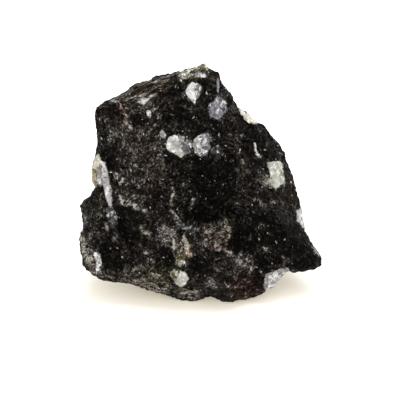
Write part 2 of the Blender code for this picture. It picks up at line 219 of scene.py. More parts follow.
# a ball from two parameters: u and v run from -45 to 45 degrees over each side of a cube,
# the side's point is (tan u, tan v, 1), and its direction is that point over its length
def cubeSphere(steps):
    line = np.tan(np.linspace(-math.pi / 4, math.pi / 4, steps + 1))
    across, along = np.meshgrid(line, line, indexing="ij")
    flat = np.stack([across.ravel(), along.ravel(), np.ones(across.size)], axis=1)
    row = np.arange(steps)[:, None] * (steps + 1) + np.arange(steps)[None, :]
    quad = np.stack([row, row + steps + 1, row + steps + 2, row + 1], axis=-1).reshape(-1, 4)
    points, quads = [], []
    for order in ((0, 1, 2), (1, 2, 0), (2, 0, 1)):
        for sign in (1, -1):
            quads.append((quad if sign > 0 else quad[:, ::-1]) + len(points) * len(flat))
            points.append((flat * (1, 1, sign))[:, order])
    points = np.concatenate(points)
    return points / np.linalg.norm(points, axis=1, keepdims=True), np.concatenate(quads)


# right, away and up from the floor, turned by the eye's tilt into right, up and near
def inPicture(place):
    right, away, height = place
    up = away * math.sin(eye["tilt"]) + height * math.cos(eye["tilt"])
    near = height * math.sin(eye["tilt"]) - away * math.cos(eye["tilt"])
    return np.array((right, up, near))


# the same turn the other way round, for whole arrays
def upright(points):
    right, up, near = points.T
    away = up * math.sin(eye["tilt"]) - near * math.cos(eye["tilt"])
    height = up * math.cos(eye["tilt"]) + near * math.sin(eye["tilt"])
    return np.stack([right, away, height], axis=1)


# reach along a direction: each face's closeness to the power of the sharpness, added up,
# and the sum to the power of minus one over the sharpness
def facetReach(directions):
    faces = [(np.array(facing), np.array(point)) for facing, point in seenFaces.values()]
    faces += [(inPicture(facing), inPicture(point)) for facing, point in hiddenFaces.values()]
    blocked = np.zeros(len(directions))
    for facing, point in faces:
        closeness = directions @ facing / (facing @ point)
        blocked += np.maximum(closeness, 0) ** shape["edgeSharpness"]
    return blocked ** (-1 / shape["edgeSharpness"])


# the facets' reach along a direction bent by noise, plus swells, broad breaks and small breaks,
# some of them higher behind, from where a direction points a quarter away from the eye
def reach(directions):
    size, strength = breakage["bend"]
    bend = np.stack([latticeNoise(directions, size, seed) for seed in (1, 2, 3)], axis=1)
    bent = directions + strength * bend
    bent /= np.linalg.norm(bent, axis=1, keepdims=True)
    distance = facetReach(bent)
    body = directions * distance[:, None]
    behind = np.clip(0.5 - 2 * directions[:, 2], 0, 1)
    size, height, more = breakage["swells"]
    distance = distance + (height + more * behind) * latticeNoise(body, size, 4)
    for kind, seed in (("broad breaks", 10), ("breaks", 20), ("small breaks", 30)):
        size, height, more = breakage[kind]
        distance = distance + (height + more * behind) * fracture(body, size, breakage["lean"], seed)
    return distance


# where a ray from the heart at each angle meets the outline's edges
def outlineReach(turns):
    first = np.array(outline)[None]
    edge = np.roll(first, -1, axis=1) - first
    ray = np.stack([np.cos(turns), np.sin(turns)], axis=1)[:, None, :]
    cross = ray[..., 0] * edge[..., 1] - ray[..., 1] * edge[..., 0]
    alongRay = (first[..., 0] * edge[..., 1] - first[..., 1] * edge[..., 0]) / cross
    alongEdge = (first[..., 0] * ray[..., 1] - first[..., 1] * ray[..., 0]) / cross
    hit = (alongRay > 0) & (alongEdge >= -1e-9) & (alongEdge <= 1 + 1e-9)
    return np.where(hit, alongRay, np.inf).min(axis=1)


# angles round the picture, and there the body's widest reach and how near the eye that lies
def rimTable():
    turns = np.linspace(-math.pi, math.pi, rim["turns"] + 1)
    widest = np.zeros(len(turns))
    rimNear = np.zeros(len(turns))
    for tilt in np.linspace(rim["poleGap"], math.pi - rim["poleGap"], rim["tilts"]):
        aside = np.stack([np.cos(turns), np.sin(turns)], axis=1) * math.sin(tilt)
        distance = reach(np.column_stack([aside, np.full(len(turns), math.cos(tilt))]))
        wider = distance * math.sin(tilt) > widest
        widest = np.where(wider, distance * math.sin(tilt), widest)
        rimNear = np.where(wider, distance * math.cos(tilt), rimNear)
    return turns, widest, rimNear


# a ring of numbers averaged under a cosine window, some degrees each way
def evened(ring, degrees):
    half = round(rim["turns"] * degrees / 360)
    window = np.hanning(2 * half + 3)[1:-1]
    around = np.concatenate([ring[-half - 1 : -1], ring, ring[1 : half + 1]])
    return np.convolve(around, window / window.sum(), mode="valid")


# right and up times a stretch: gentle all over, exact at the rim, and never outside the outline
def fitToOutline(body):
    turns, widest, rimNear = rimTable()
    exact = outlineReach(turns) / widest
    gentle = evened(exact, rim["gentleOver"]) - rim["inset"]
    turn = np.arctan2(body[:, 1], body[:, 0])
    share = np.hypot(body[:, 0], body[:, 1]) / np.interp(turn, turns, widest)
    apart = (body[:, 2] - np.interp(turn, turns, evened(rimNear, rim["nearOver"]))) / rim["depth"]
    start, full = rim["exact"]
    atRim = np.clip((share - start) / (full - start), 0, 1) ** 2 * np.exp(-(apart**2))
    exact, gentle = np.interp(turn, turns, exact), np.interp(turn, turns, gentle)
    stretch = np.minimum(gentle + (exact - gentle) * atRim, exact / np.maximum(share, 1e-9))
    return body * np.stack([stretch, stretch, np.ones(len(body))], axis=1)


# distance to a bent line, and on which side of it a place lies, 1 for left and -1 for right
def fromLine(right, up, points):
    nearest = np.full(len(right), np.inf)
    side = np.zeros(len(right))
    for (x0, y0), (x1, y1) in zip(points[:-1], points[1:]):
        alongX, alongY = x1 - x0, y1 - y0
        step = ((right - x0) * alongX + (up - y0) * alongY) / (alongX**2 + alongY**2)
        step = np.clip(step, 0, 1)
        apartX, apartY = right - x0 - step * alongX, up - y0 - step * alongY
        apart = np.hypot(apartX, apartY)
        leftness = (alongX * apartY - alongY * apartX) / math.hypot(alongX, alongY)
        closer = apart < nearest
        side = np.where(closer, leftness / np.maximum(apart, 1e-9), side)
        nearest = np.where(closer, apart, nearest)
    return nearest, side


# 1 along the line, falling to 0 at its own width on either side, steepest at the line
def fold(right, up, points, widths):
    nearest, side = fromLine(right, up, points)
    width = widths[1] + (widths[0] - widths[1]) * (0.5 + 0.5 * side)
    return np.clip(1 - nearest / width, 0, 1) ** shape["foldPower"]


# a flat top with sloping sides: 1 out to 0.75 of a rounded box's half size, 0 from 1.25 of it on
def proudness(right, up, centre, half, turn):
    cosine, sine = math.cos(math.radians(turn)), math.sin(math.radians(turn))
    x, y = right - centre[0], up - centre[1]
    across, along = np.abs(x * cosine + y * sine) / half[0], np.abs(y * cosine - x * sine) / half[1]
    power = shape["crystalPower"]
    return np.clip((1.25 - (across**power + along**power) ** (1 / power)) / 0.5, 0, 1)


# how much the lines of the relief wander from the straight
wander = {"size": 4.0, "folds": 0.7, "crystals": 0.3}


# the folds and crystals of one side added up, with their lines bent by noise
def relief(right, up, folds, crystals):
    place = np.stack([right, up, np.zeros(len(right))], axis=1)
    bendRight, bendUp = (latticeNoise(place, wander["size"], seed) for seed in (51, 52))
    pushed = np.zeros(len(right))
    bend = wander["folds"]
    for points, widths, height in folds.values():
        pushed += height * fold(right + bend * bendRight, up + bend * bendUp, points, widths)
    bend = wander["crystals"]
    for centre, half, turn, height in crystals.values():
        pushed += height * proudness(right + bend * bendRight, up + bend * bendUp, centre, half, turn)
    return pushed


# the fitted body, pushed towards or away from the eye by the relief of its two sides,
# which fades out towards the rim, over the last fifth of the way
def pictureSurface(directions):
    points = fitToOutline(directions * reach(directions)[:, None])
    right, up, near = points.T
    facingEye = np.clip(directions[:, 2] * 5, 0, 1)
    facingAway = np.clip(-directions[:, 2] * 5, 0, 1)
    near = near + facingEye * relief(right, up, frontFolds, proudCrystals)
    near = near - facingAway * relief(right, up, backFolds, {})
    return np.stack([right, up, near], axis=1)


# the feldspar crystals that show from the front: outline, colour, and how whole each is, from 0 to 1
frontCrystals = {
    "upper, white side": (((-2.8, 17.9), (-2.2, 19.1), (-1.4, 19.7), (-0.6, 19.3), (-0.45, 18.2),
        (-0.5, 16.9), (-1.0, 15.4), (-1.7, 16.3), (-2.4, 17.0)), "#d4d4d3", 0.98),
    "upper, grey side": (((-1.2, 19.4), (-0.7, 19.3), (0.35, 19.0), (0.5, 18.2), (-0.1, 17.0),
        (-0.7, 16.3), (-1.1, 17.5)), "#7b7b7b", 0.85),
    "upper grey": (((1.5, 14.8), (1.8, 15.7), (2.6, 16.3), (3.4, 17.0), (4.3, 17.0), (4.7, 16.1),
        (4.95, 15.3), (4.9, 14.1), (4.2, 13.2), (3.5, 12.7), (1.9, 13.0)), "#74737a", 0.92),
    "left twin, white side": (((-6.5, 8.05), (-5.8, 9.3), (-4.9, 9.9), (-4.0, 9.8), (-3.6, 8.6),
        (-3.2, 7.2), (-2.6, 6.3), (-3.3, 6.0), (-3.7, 5.6), (-4.3, 6.2), (-5.0, 6.4), (-6.3, 7.2)),
        "#b9b9b3", 0.92),
    "left twin, grey side": (((-4.6, 9.9), (-4.0, 9.8), (-3.0, 9.5), (-2.3, 9.15), (-1.5, 8.05),
        (-1.8, 6.8), (-2.4, 6.2), (-3.4, 7.2), (-4.0, 8.4)), "#78777a", 0.8),
    "right twin, white side": (((-1.4, 7.9), (-1.0, 9.3), (-0.4, 9.8), (0.3, 9.9), (0.25, 8.4),
        (0.25, 6.8), (0.6, 5.6), (0.0, 5.75), (-0.6, 6.2), (-0.9, 7.0)), "#aeadaa", 0.93),
    "right twin, grey side": (((-0.1, 9.9), (0.5, 10.0), (2.0, 10.1), (1.85, 8.4), (2.15, 7.4),
        (1.7, 6.8), (0.95, 5.6), (0.3, 5.7), (-0.2, 7.0), (-0.1, 8.4)), "#7c7c80", 0.85),
    "twin's foot": (((2.3, 7.3), (3.2, 8.0), (4.4, 7.2), (4.0, 6.0), (3.2, 5.4), (2.3, 5.9)), "#7d7c7e",
        0.5),
    "right": (((12.45, 4.7), (13.2, 4.8), (14.85, 5.05), (15.3, 4.35), (15.5, 3.1), (15.8, 0.4),
        (15.1, 0.85), (14.1, -0.35), (12.9, 1.3), (13.1, 1.9), (12.85, 3.3)), "#a3a298", 1.0),
    "left edge": (((-20.4, 3.2), (-20.0, 4.6), (-19.5, 5.9), (-18.9, 6.3), (-18.2, 5.2), (-18.2, 4.1),
        (-19.3, 3.5)), "#b3ad9c", 0.97),
    "left edge, olive side": (((-20.8, 3.6), (-19.5, 3.8), (-19.3, 1.9), (-18.9, 0.6), (-19.2, -0.2),
        (-20.4, 0.0)), "#8d8669", 0.95),
    "left edge, grey side": (((-19.5, 4.1), (-18.1, 4.5), (-18.0, 2.4), (-18.3, 0.4), (-18.9, 0.1),
        (-19.3, 1.8)), "#7e7b75", 0.93),
    "vein": (((-18.5, 5.2), (-17.6, 4.8), (-17.2, 3.3), (-16.9, 1.5), (-16.6, -0.4), (-16.4, -2.0),
        (-16.3, -3.6), (-16.7, -3.6), (-17.2, -2.4), (-17.7, -0.8), (-18.0, 0.8), (-18.2, 2.4)),
        "#b6b2b3", 1.0),
    "vein, grey end": (((-17.1, -3.6), (-16.1, -3.6), (-15.6, -5.2), (-15.8, -6.8), (-16.7, -6.8),
        (-17.2, -5.2)), "#656368", 0.78),
    "low": (((-3.65, -15.4), (-2.75, -15.6), (-2.1, -16.8), (-2.6, -17.9), (-3.35, -18.4), (-4.3, -18.1),
        (-4.9, -17.1), (-4.3, -16.6)), "#aba7a1", 1.0),
    "low, olive side": (((-5.6, -15.6), (-4.6, -15.0), (-3.6, -15.3), (-3.7, -16.2), (-4.4, -16.9),
        (-5.2, -16.9)), "#7d785c", 0.8),
    "low right": (((11.85, -17.4), (12.3, -15.9), (13.2, -15.6), (14.6, -15.0), (16.4, -14.8),
        (16.8, -15.6), (15.7, -16.3), (14.8, -17.4), (14.5, -18.6), (12.9, -19.2), (12.0, -18.9)),
        "#969292", 0.95),
    "shoulder": (((7.2, 15.0), (8.3, 14.6), (9.7, 14.2), (10.6, 13.2), (11.3, 12.2), (9.8, 11.9),
        (9.1, 12.1), (8.3, 12.8), (7.6, 13.6)), "#b6b2a6", 0.95),
    "right edge": (((18.0, -4.2), (18.9, -3.6), (19.8, -5.0), (19.7, -7.5), (19.0, -7.3), (18.2, -5.9)),
        "#b0aeae", 0.97),
    "arm edge": (((20.8, -10.8), (21.9, -11.0), (22.6, -12.1), (22.1, -12.6), (21.2, -11.7)), "#9c9c9e",
        0.8),
    "tip": (((-1.2, 22.6), (0.4, 23.8), (2.0, 22.6), (1.3, 22.1), (0.2, 22.3)), "#b2af90", 0.75),
    "top streak": (((-3.9, 21.3), (-3.0, 21.8), (-1.9, 22.3), (-0.6, 22.8), (-0.6, 22.2), (-2.0, 21.8)),
        "#c9c6b4", 0.85),
    "left top": (((-11.5, 15.9), (-11.0, 16.6), (-10.0, 16.5), (-9.2, 17.2), (-8.4, 17.8), (-8.9, 17.0),
        (-9.7, 16.1), (-10.6, 15.6)), "#c9c8c6", 0.94),
    "left top small": (((-10.0, 13.9), (-9.65, 14.7), (-9.0, 14.2), (-9.0, 13.4), (-9.5, 13.0)),
        "#cbcac8", 0.94),
    "grey chip": (((-7.5, 10.4), (-7.0, 10.8), (-6.5, 10.2), (-6.6, 9.3), (-7.2, 9.4)), "#94928f", 1.0),
    "corner": (((-20.5, -12.6), (-20.0, -11.9), (-19.4, -11.5), (-18.8, -12.1), (-18.6, -13.0),
        (-18.2, -13.9), (-18.6, -14.8), (-18.9, -15.7), (-19.5, -15.2), (-19.6, -14.3), (-19.6, -13.5)),
        "#d3d3d2", 0.85),
    "low streak, white": (((-3.5, -8.2), (-3.1, -8.1), (-2.4, -9.6), (-1.9, -10.9), (-2.6, -11.5),
        (-3.1, -10.2)), "#b9b09c", 0.8),
    "low streak, pink": (((-2.8, -10.8), (-2.1, -10.8), (-1.5, -11.6), (-1.6, -12.9), (-2.3, -13.1),
        (-2.8, -12.0)), "#a08a7a", 0.8),
    "low streak, foot": (((-2.4, -12.9), (-1.8, -12.6), (-1.9, -14.0), (-2.8, -14.9), (-3.3, -13.8)),
        "#6b6b66", 0.6),
    "low streak, olive": (((-4.5, -11.7), (-3.4, -10.6), (-2.8, -11.9), (-2.9, -13.4), (-3.5, -14.8),
        (-4.3, -14.8), (-4.7, -13.4)), "#646044", 0.75),
}

# thin crystals cut along their length: points along each, half width, colour and wholeness
frontStreaks = {
    "right sickle": (((10.3, 8.2), (10.3, 7.2), (10.6, 6.4), (11.1, 5.8)), 0.06, "#cfcdc8", 0.95),
    "upper grey, tail": (((3.4, 20.2), (3.4, 18.8), (3.3, 17.4), (3.2, 16.2)), 0.2, "#8e8d93", 0.97),
    "summit": (((-0.5, 21.1), (0.5, 20.9), (1.5, 20.4)), 0.33, "#82808c", 0.9),
    "summit line": (((-6.9, 19.7), (-5.2, 20.2), (-3.7, 20.8), (-2.2, 21.4)), 0.04, "#dcdbd0", 0.85),
    "summit line, lower": (((-4.1, 19.5), (-2.6, 20.4), (-1.5, 21.2)), 0.02, "#c9c8b8", 0.85),
}

# threads of pale grains: points along each, half width, colour and density
frontThreads = {
    "brow": (((-10.8, -3.7), (-10.1, -4.5), (-9.9, -5.3)), 0.3, "#a8a6a2", 0.35),
    "apron": (((-4.9, -9.6), (-4.8, -11.0), (-4.7, -12.0)), 0.25, "#a5a19a", 0.6),
    "corner": (((-16.1, 16.2), (-14.8, 15.3), (-13.9, 13.5), (-13.4, 11.7), (-12.4, 10.6)), 0.3,
        "#8f7468", 0.7),
    "left rim": (((-22.3, -9.2), (-22.1, -11.4), (-21.2, -13.6)), 0.6, "#b5aaa0", 0.8),
    "middle tail": (((-1.65, -3.9), (-1.65, -2.2)), 0.3, "#b0aeab", 0.9),
    "middle": (((-5.5, -4.2), (-4.9, -4.9), (-4.4, -6.2)), 0.27, "#7c8792", 0.7),
    "right dash": (((8.0, 9.9), (8.3, 9.3)), 0.25, "#a9a8a4", 0.6),
    "apron dash": (((7.7, -11.7), (7.8, -12.6)), 0.25, "#a3a19d", 0.8),
    "left vee": (((-16.1, 2.8), (-15.6, 1.5), (-14.9, 0.7), (-14.1, 1.9)), 0.2, "#b4b7a3", 1.1),
    "brow line": (((-15.4, -1.6), (-14.2, -2.8), (-12.8, -2.6), (-11.6, -3.4)), 0.4, "#b5b3af", 0.45),
    "hollow's lip": (((-4.6, -5.0), (-3.6, -6.4), (-1.6, -7.2)), 0.3, "#868d94", 0.5),
    "hollow's lip, dim": (((-4.4, -6.9), (-2.8, -7.5), (-0.4, -7.6)), 0.4, "#42505b", 0.6),
    "middle rise": (((-5.4, 0.6), (-5.0, -1.2), (-5.2, -3.0)), 0.3, "#8f867e", 0.5),
    "right fold": (((6.4, 9.0), (7.8, 5.2), (9.0, 2.4)), 0.3, "#6f6b64", 0.35),
}

# clusters of small pale grains: right and up, half width and height, colour and density
frontClusters = (
    (-16.3, -4.6, 0.7, 1.0, "#8f8c98", 0.15), (-15.9, -6.2, 0.5, 0.8, "#8f8c98", 0.35),
    (-15.9, -8.4, 0.3, 1.6, "#8f8c98", 0.3), (-12.2, 3.8, 0.4, 0.5, "#8f8d8a", 0.7),
    (-14.9, -2.4, 0.45, 0.4, "#b5b3af", 0.9), (-13.0, -2.7, 0.6, 0.5, "#8f8d8a", 0.7),
    (-12.1, -3.5, 0.6, 0.45, "#7f7e7b", 0.6), (-10.1, -4.4, 0.4, 0.5, "#959391", 0.15),
    (-10.9, -1.8, 0.7, 0.3, "#93928f", 0.6), (-11.4, -0.2, 0.4, 0.4, "#86847f", 0.7),
    (-4.9, -1.6, 0.35, 0.35, "#7d7b78", 0.7), (-2.8, -7.2, 1.1, 0.5, "#777c82", 0.1),
    (-21.3, -5.8, 0.5, 0.6, "#a5a29d", 0.8), (-17.8, -6.2, 0.4, 0.4, "#98948e", 0.7),
    (-17.6, -7.2, 0.4, 0.5, "#8e8b87", 0.7), (-10.9, -7.2, 0.6, 1.1, "#a9a797", 0.6),
    (-9.9, -8.3, 0.7, 0.9, "#b3b1a4", 0.7), (-10.0, -12.2, 0.55, 0.5, "#a4a29c", 0.7),
    (-8.8, -13.7, 0.35, 0.35, "#8a8f98", 0.8), (-13.4, -15.3, 0.7, 0.4, "#9b978a", 0.4),
    (-11.9, -15.2, 0.8, 0.5, "#a3a196", 0.3), (-11.0, -17.3, 0.6, 0.4, "#8d897c", 0.3),
    (-9.3, -17.8, 0.6, 0.35, "#a19f98", 0.3), (-8.2, -16.1, 0.6, 0.6, "#97937f", 0.3),
    (-8.0, -19.3, 1.7, 0.6, "#8b8884", 0.5), (-2.4, -19.4, 1.8, 0.5, "#7d7d82", 0.5),
    (17.15, -3.3, 0.35, 0.35, "#a8a294", 0.9), (13.9, -2.6, 0.75, 0.4, "#8b8986", 0.7),
    (10.5, -2.1, 0.5, 0.3, "#75736f", 0.6), (8.0, -0.8, 0.35, 0.35, "#6f6d69", 0.6),
    (11.9, -7.0, 0.75, 0.6, "#7e7c79", 0.6), (11.1, -8.5, 0.45, 0.4, "#8b8986", 0.7),
    (12.8, -8.5, 0.4, 0.4, "#8b8986", 0.7), (12.3, -11.4, 0.65, 0.75, "#a9a7a5", 0.85),
    (13.85, -10.2, 0.4, 0.35, "#85837f", 0.6), (12.6, -13.0, 0.5, 0.4, "#85837f", 0.6),
    (15.5, -13.1, 0.35, 0.3, "#85837f", 0.6), (6.0, 5.0, 0.35, 0.35, "#7a7874", 0.7),
    (12.45, 9.15, 0.4, 0.3, "#7d7b77", 0.6), (15.1, 6.4, 0.35, 0.4, "#94807c", 0.7),
    (5.0, -7.2, 0.8, 1.9, "#75725f", 0.35), (2.4, -8.6, 1.4, 0.8, "#73625f", 0.2),
    (3.1, -10.9, 1.0, 1.1, "#8b7a6f", 0.35), (5.3, -12.2, 0.6, 0.45, "#86837e", 0.7),
    (7.0, -13.5, 0.75, 0.7, "#7c7975", 0.6), (9.1, -13.9, 0.8, 1.3, "#6d5f5d", 0.4),
    (9.4, -15.0, 0.35, 0.35, "#c4c1bc", 0.9), (1.6, -18.1, 1.2, 1.1, "#71747c", 0.25),
    (5.5, -18.3, 0.4, 0.7, "#7e7b62", 0.6), (8.0, -18.2, 2.0, 1.6, "#4a3a39", 0.15),
    (-8.0, 12.8, 0.35, 0.35, "#a09e99", 0.8), (-8.6, 11.4, 0.35, 0.35, "#8d8b87", 0.8),
    (-8.2, 14.4, 0.35, 0.3, "#97958f", 0.8), (-7.4, 14.7, 0.4, 0.3, "#97958f", 0.8),
    (-6.0, 12.2, 0.4, 0.3, "#7e7b72", 0.7), (-16.6, 9.6, 1.0, 1.7, "#6b6d74", 0.6),
    (-1.7, -0.6, 0.3, 0.3, "#8a8884", 0.8), (5.6, 11.0, 0.3, 0.3, "#85837e", 0.8),
    (13.0, 1.0, 0.9, 0.8, "#8e8f8c", 0.6), (19.0, -1.6, 0.4, 0.6, "#6d6656", 0.5),
)

# crystals of the sides, back and underside: boxes turned at random inside the rock, cut by its surface
hiddenCrystals = {
    "count": 54,
    "halfLength": (0.9, 3.1),
    "width": (0.45, 0.85),  # this and the thickness as shares of the length
    "thickness": (0.3, 0.6),
    "wholeness": (0.7, 1.0),
    "sink": 0.03125,  # share of the way to the heart that their middles lie under the surface
    "fewLong": 2.2,  # 1 for all lengths as often, more for fewer long ones
    "colours": ("#f0efeb", "#d9d8ce", "#bcb8b6", "#979699", "#d3d2ca", "#84838a", "#bfb89f"),
    "clusters": 420,
    "clusterSize": (0.35, 1.1),
    "clusterStretch": (0.6, 1.6),
    "clusterDensity": (0.4, 0.9),
    "clusterColours": ("#b5b3af", "#8b8986", "#7e7c79", "#97937f", "#756a66", "#68707a"),
    "seed": 8,
}

# where pale grains are many, above 0, or few, below 0, and where light and shade are painted: faces that face
# up, such as the top band and the aprons, and the low faces lit from the floor are painted paler, and the
# scoop and the hollows, which face down or lie in shade, are painted darker; each break face's outline, and
# how much
grainAndShadeFaces = {
    "top band": (((-20.0, 15.0), (-13.6, 19.4), (-5.6, 22.4), (0.6, 24.0), (1.6, 21.6), (-3.2, 19.6),
        (-8.6, 17.2), (-14.0, 16.2)), 0.6),
    "summit": (((-4.6, 19.6), (-3.6, 22.2), (0.6, 24.0), (2.2, 22.0), (1.6, 20.2), (-1.0, 20.6)), 0.5),
    "left top, dark": (((-18.9, 15.6), (-16.0, 16.1), (-14.8, 14.1), (-15.0, 12.2), (-18.4, 12.2)), 0.25),
    "left top, light": (((-14.8, 16.9), (-9.3, 17.8), (-6.7, 16.3), (-7.4, 11.9), (-11.1, 12.6),
        (-14.1, 14.5)), 0.7),
    "left front": (((-14.5, 13.0), (-7.4, 10.0), (-6.5, 5.2), (-9.3, -0.4), (-14.8, 0.6), (-15.2, 8.9)),
        0.6),
    "upper front": (((-7.1, 15.6), (-1.9, 15.6), (0.6, 16.3), (5.2, 13.0), (7.1, 10.8), (2.8, 10.0),
        (-1.9, 10.4), (-6.5, 10.8)), -0.05),
    "scoop": (((-1.9, 5.6), (2.8, 6.1), (6.5, 3.3), (7.1, -1.3), (5.9, -5.0), (4.1, -6.3), (0.9, -6.3),
        (-1.9, -6.1), (-3.5, -4.8), (-2.6, -2.2), (-1.5, 1.5)), -0.7),
    "brow": (((-16.1, 0.4), (-13.0, -0.4), (-9.3, -3.3), (-8.9, -5.2), (-11.9, -3.7), (-15.6, -3.0)),
        0.9),
    "left hollow": (((-15.6, -3.7), (-14.1, -2.8), (-11.5, -3.3), (-11.0, -5.9), (-11.3, -9.7),
        (-13.4, -10.8), (-15.2, -9.7)), -0.75),
    "low left, dark": (((-18.4, -9.7), (-15.2, -10.4), (-14.5, -14.8), (-17.4, -15.6), (-18.6, -13.0)),
        -0.7),
    "low left corner": (((-22.1, -9.3), (-20.4, -9.7), (-18.6, -13.7), (-17.8, -16.3), (-20.0, -16.0),
        (-21.7, -13.0)), 1.2),
    "left lump": (((-21.9, -2.6), (-18.6, -1.5), (-16.3, -5.0), (-17.1, -8.9), (-21.5, -9.7)), 0.3),
    "apron, left": (((-7.8, -7.4), (-4.1, -7.1), (-3.3, -10.8), (-5.2, -11.5), (-7.4, -10.8)), 1.25),
    "apron, right": (((-1.5, -8.2), (0.9, -7.1), (4.1, -5.2), (5.9, -5.9), (5.8, -9.7), (4.8, -12.2),
        (2.2, -11.9), (-0.4, -10.4)), 0.8),
    "under the apron, left": (((-8.9, -9.7), (-5.2, -11.9), (-4.5, -14.1), (-7.4, -14.5), (-9.3, -11.5)),
        -0.5),
    "under the apron": (((-1.5, -12.6), (2.2, -13.0), (3.0, -15.6), (-0.7, -16.3), (-1.9, -14.5)), -0.7),
    "low band": (((-15.2, -14.5), (-11.1, -13.9), (-6.5, -16.3), (-5.6, -19.3), (-9.3, -18.9),
        (-14.5, -17.4)), 0.85),
    "lower rim": (((-21.2, -14.2), (-18.8, -15.6), (-13.2, -16.5), (-8.6, -17.4), (-5.2, -18.6),
        (-5.6, -21.0), (-9.8, -19.6), (-17.8, -18.0), (-21.6, -16.0)), 0.4),
    "low face": (((-5.2, -18.4), (-0.7, -18.7), (0.2, -21.6), (-4.1, -21.8)), 1.0),
    "low middle": (((0.4, -16.3), (5.2, -13.0), (5.9, -18.9), (0.9, -19.7)), 0.35),
    "low right": (((5.6, -12.6), (9.7, -12.6), (10.4, -15.2), (6.7, -16.0)), 0.4),
    "right hollow": (((6.1, -7.1), (9.7, -6.7), (10.6, -9.3), (10.0, -12.1), (7.1, -12.2), (5.9, -10.2)),
        -0.95),
    "right middle": (((10.8, -5.2), (14.1, -5.2), (16.3, -8.9), (15.6, -13.7), (11.5, -14.1),
        (10.4, -9.7)), -0.6),
    "arm": (((15.8, -7.4), (18.2, -6.3), (20.8, -11.1), (22.5, -13.7), (21.5, -14.8), (16.7, -14.7),
        (15.4, -11.5)), -0.95),
    "right block": (((7.4, 12.2), (11.1, 11.9), (15.4, 6.7), (14.8, 5.2), (11.5, 5.2), (9.3, 8.9)), -0.4),
    "beside the right crystal": (((11.1, 5.2), (13.0, 5.6), (13.4, 0.0), (11.5, 1.1)), 0.45),
}

clusterStrength = 3.0  # how much paler a cluster or thread of density 1 makes its grains

# the faint tints that come again
tints = {"red": "#a88f8c", "blue": "#8c95a3", "olive": "#95947f"}

# faint stains: centre, half width and height, colour, and how strong
stains = {
    "red, left": ((-10.2, 7.4), (2.8, 3.8), tints["red"], 0.4),
    "red, corner": ((-14.6, 14.6), (2.0, 2.0), "#a88f84", 0.6),
    "red, apron left": ((-4.8, -8.4), (2.2, 1.8), tints["red"], 0.5),
    "red, apron right": ((3.0, -9.8), (3.0, 2.6), tints["red"], 0.6),
    "red, low": ((8.4, -17.6), (3.4, 2.4), "#a07f7c", 0.9),
    "red, middle": ((-8.0, 2.0), (4.0, 4.0), "#a89184", 0.25),
    "red, top": ((-10.0, 19.0), (7.0, 2.4), "#a5957c", 0.75),
    "blue, left": ((-18.0, 9.4), (1.8, 3.0), tints["blue"], 0.5),
    "blue, rim": ((-2.4, -7.4), (2.4, 1.2), "#8b98a3", 0.6),
    "blue, low": ((1.8, -18.0), (2.6, 1.8), tints["blue"], 0.5),
    "olive, summit": ((-1.4, 20.9), (4.0, 2.0), "#908f6c", 0.9),
    "olive, left": ((-10.8, -7.8), (1.6, 2.4), tints["olive"], 0.35),
    "olive, rim": ((4.6, -6.5), (1.4, 1.6), tints["olive"], 0.7),
    "olive, low": ((-6.4, -16.0), (4.4, 2.2), "#959470", 0.7),
    "olive, right": ((17.4, -1.0), (1.4, 5.0), tints["olive"], 0.7),
    "rust, left edge": ((-19.8, 2.0), (1.0, 3.0), "#a39a7f", 0.6),
    "rust, right edge": ((18.2, -2.6), (0.8, 1.6), "#a38c70", 0.7),
    "rust, low rim": ((8.6, -20.4), (4.0, 1.0), "#a3805f", 0.9),
}

# where the grains run in streaks along the upper edge: the outline of that facet, and their direction
streakyBand = {
    "outline": ((-20.2, 15.6), (-13.6, 19.6), (-5.6, 22.6), (0.6, 24.2), (2.4, 21.8), (-2.6, 19.6),
        (-8.0, 16.6), (-13.0, 15.4), (-17.0, 14.2)),
    "along": (0.925, 0.19, 0.33),  # right, away, up from the floor
    "stretch": 0.82,
    "share": 0.85,  # of the band's grains against the plain ones
}

fineRelief = {
    "chips": (1.7, 0.34),  # size and height
    "grains": (0.85, 0.3),
    "dust": (0.5, 0.14),
    "onCrystals": 0.35,  # the share of it that a crystal's cleaved face keeps
}

# how the seen crystals sit in the rock
crystalFit = {
    "borderBend": (1.1, 0.06, 3.0, 0.4),  # size of the bends, least, how much more where less whole, most
    "depth": 1.4,  # how far an outline reaches in front of its own plane and behind it
    "streakDepth": 4.0,
    "fallOff": 1.3,
}


# distance to a closed outline, above 0 inside: the nearest edge's distance, its sign from the
# number of edges that a ray to the right crosses
def insideOutline(right, up, points):
    nearest, _ = fromLine(right, up, tuple(points) + (points[0],))
    crossings = np.zeros(len(right), dtype=int)
    for (x0, y0), (x1, y1) in zip(points, tuple(points[1:]) + (points[0],)):
        spans = (y0 > up) != (y1 > up)
        crossings += spans & (right < x0 + (up - y0) * (x1 - x0) / (y1 - y0 + 1e-12))
    return np.where(crossings % 2 == 1, nearest, -nearest)


# 1 at a patch's middle and 0 from a little past its edge on, as a smooth bump
def patchShare(right, up, centre, half):
    apart = ((right - centre[0]) / half[0]) ** 2 + ((up - centre[1]) / half[1]) ** 2
    return np.clip(1 - apart / 1.6, 0, 1) ** 1.3


# an sRGB hex colour as linear light: the straight part below 0.04045, the power of 2.4 above it
def linear(hexColour):
    channels = np.array([int(hexColour[i : i + 2], 16) / 255 for i in (1, 3, 5)])
    return np.where(channels <= 0.04045, channels / 12.92, ((channels + 0.055) / 1.055) ** 2.4)


# the larger of two fields at each point, with its colour and wholeness
def winner(old, new):
    wins = new[0] > old[0]
    return (np.where(wins, new[0], old[0]), np.where(wins[:, None], new[1], old[1]),
            np.where(wins, new[2], old[2]))


# an empty field, a colour and a wholeness for every point
def noCrystals(count):
    return np.full(count, -3.0), np.full((count, 3), 0.6), np.zeros(count)


# a plane through some of the points, fitted again without those that lie far behind it
def ownPlane(right, up, near, own):
    ground = np.column_stack([right, up, np.ones(len(right))])
    plane = np.linalg.lstsq(ground[own], near[own], rcond=None)[0]
    front = own & (near > ground @ plane - 1.5)
    return ground @ np.linalg.lstsq(ground[front], near[front], rcond=None)[0]


